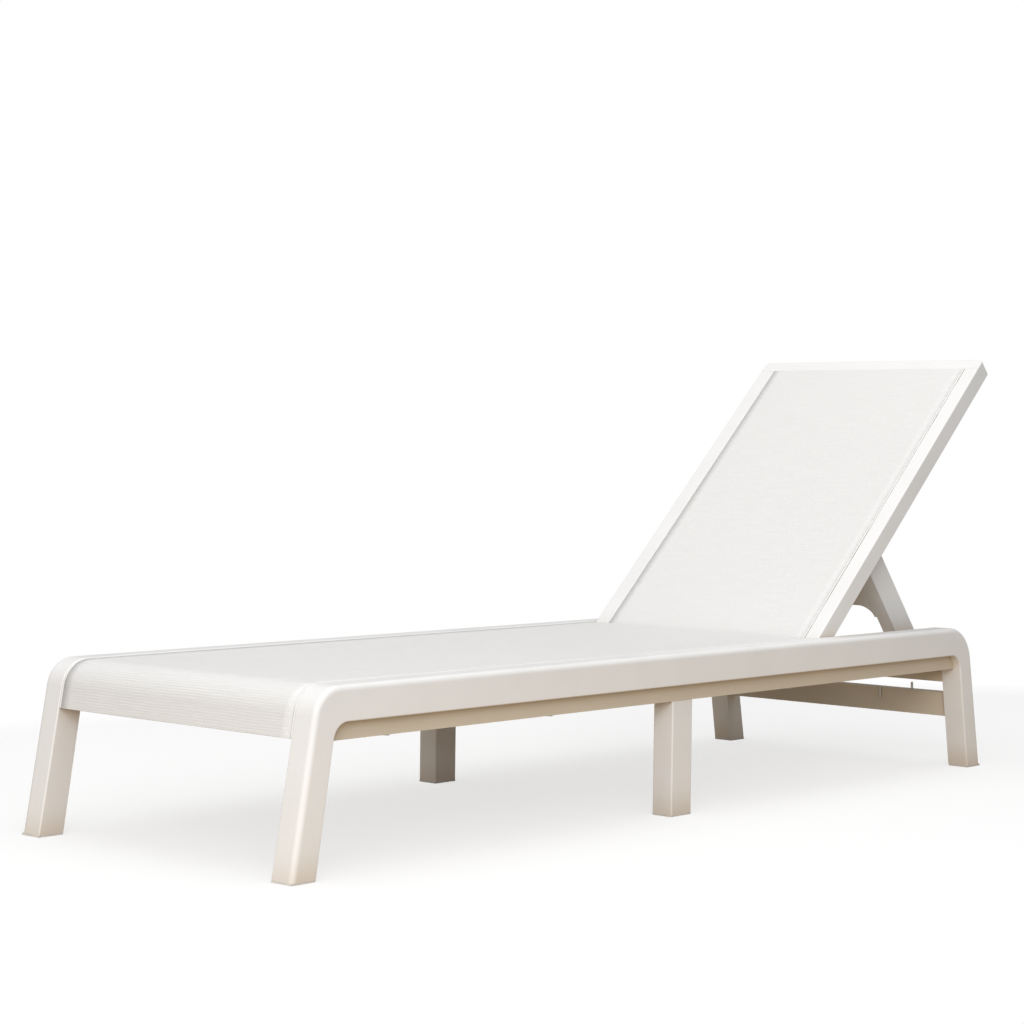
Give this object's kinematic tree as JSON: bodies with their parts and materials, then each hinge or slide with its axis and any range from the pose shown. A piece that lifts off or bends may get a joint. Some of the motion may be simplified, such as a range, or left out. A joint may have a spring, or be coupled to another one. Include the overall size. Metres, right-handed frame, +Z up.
{
  "type": "sun lounger",
  "caption": "Reclining garden sun lounger: two rounded side frames, stretched fabric seat and back, and a coupled back prop with racks.",
  "frame": {"origin": "on the floor, under the middle of the bounding box with the back as it stands in the rest pose", "axes": "+X from the foot end to the head end, +Y to the right of someone lying in it with their head at +X looking at the foot end, +Z up"},
  "size_m": [2.037, 0.648, 0.8438],
  "materials": {
    "frame_resin": "moulded white resin, fine satin grain",
    "sling_fabric": "white coated mesh, cross ribs",
    "edge_bead": "extruded white bead",
    "foot_rubber": "pale soft sole",
    "bush_nylon": "natural nylon",
    "steel": "stainless steel"
  },
  "bodies": {
    "frame": {"frame_screws": "steel", "front_crossbar": "frame_resin", "front_foot_left": "foot_rubber", "front_foot_right": "foot_rubber", "hinge_bracket_left": "frame_resin", "hinge_bracket_right": "frame_resin", "hinge_pin_left": "steel", "hinge_pin_right": "steel", "inner_rail_left": "frame_resin", "inner_rail_right": "frame_resin", "middle_foot_left": "foot_rubber", "middle_foot_right": "foot_rubber", "middle_leg_left": "frame_resin", "middle_leg_right": "frame_resin", "rack_left": "frame_resin", "rack_right": "frame_resin", "rear_crossbar": "frame_resin", "rear_foot_left": "foot_rubber", "rear_foot_right": "foot_rubber", "rear_stretcher": "frame_resin", "rest_buffer_left": "foot_rubber", "rest_buffer_right": "foot_rubber", "seat_crossbar_front": "frame_resin", "seat_crossbar_middle": "frame_resin", "seat_crossbar_rear": "frame_resin", "seat_edge_bead_left": "edge_bead", "seat_edge_bead_right": "edge_bead", "seat_sling": "sling_fabric", "side_frame_left": "frame_resin", "side_frame_right": "frame_resin", "stretcher_stud_inner": "steel", "stretcher_stud_outer": "steel"},
    "back": {"back_crossbar_lower": "frame_resin", "back_crossbar_upper": "frame_resin", "back_edge_bead_left": "edge_bead", "back_edge_bead_right": "edge_bead", "back_end_cap_left": "frame_resin", "back_end_cap_right": "frame_resin", "back_rail_left": "frame_resin", "back_rail_right": "frame_resin", "back_sling": "sling_fabric", "back_top_rail": "frame_resin", "hinge_bush_left": "bush_nylon", "hinge_bush_right": "bush_nylon", "prop_pin_left": "steel", "prop_pin_right": "steel", "prop_spacer_left": "bush_nylon", "prop_spacer_right": "bush_nylon"},
    "prop": {"prop_bush_left": "bush_nylon", "prop_bush_right": "bush_nylon", "prop_foot_bar": "foot_rubber", "prop_leg_left": "frame_resin", "prop_leg_right": "frame_resin", "prop_web": "frame_resin"}
  },
  "joints": [
    {"name": "recline", "type": "hinge", "parent": "frame", "child": "back", "pos_m": [0.40646, 0, 0.274], "axis": [0, 1, 0], "range_deg": [-13.4, 43.2]},
    {"name": "prop_fold", "type": "hinge", "parent": "back", "child": "prop", "pos_m": [0.63951, 0, 0.48599], "axis": [0, 1, 0], "range_deg": [-91.6, 28.5]}
  ],
  "couplings": [
    {"joint": "prop_fold", "follows": "recline", "ratio": -2.1199}
  ]
}
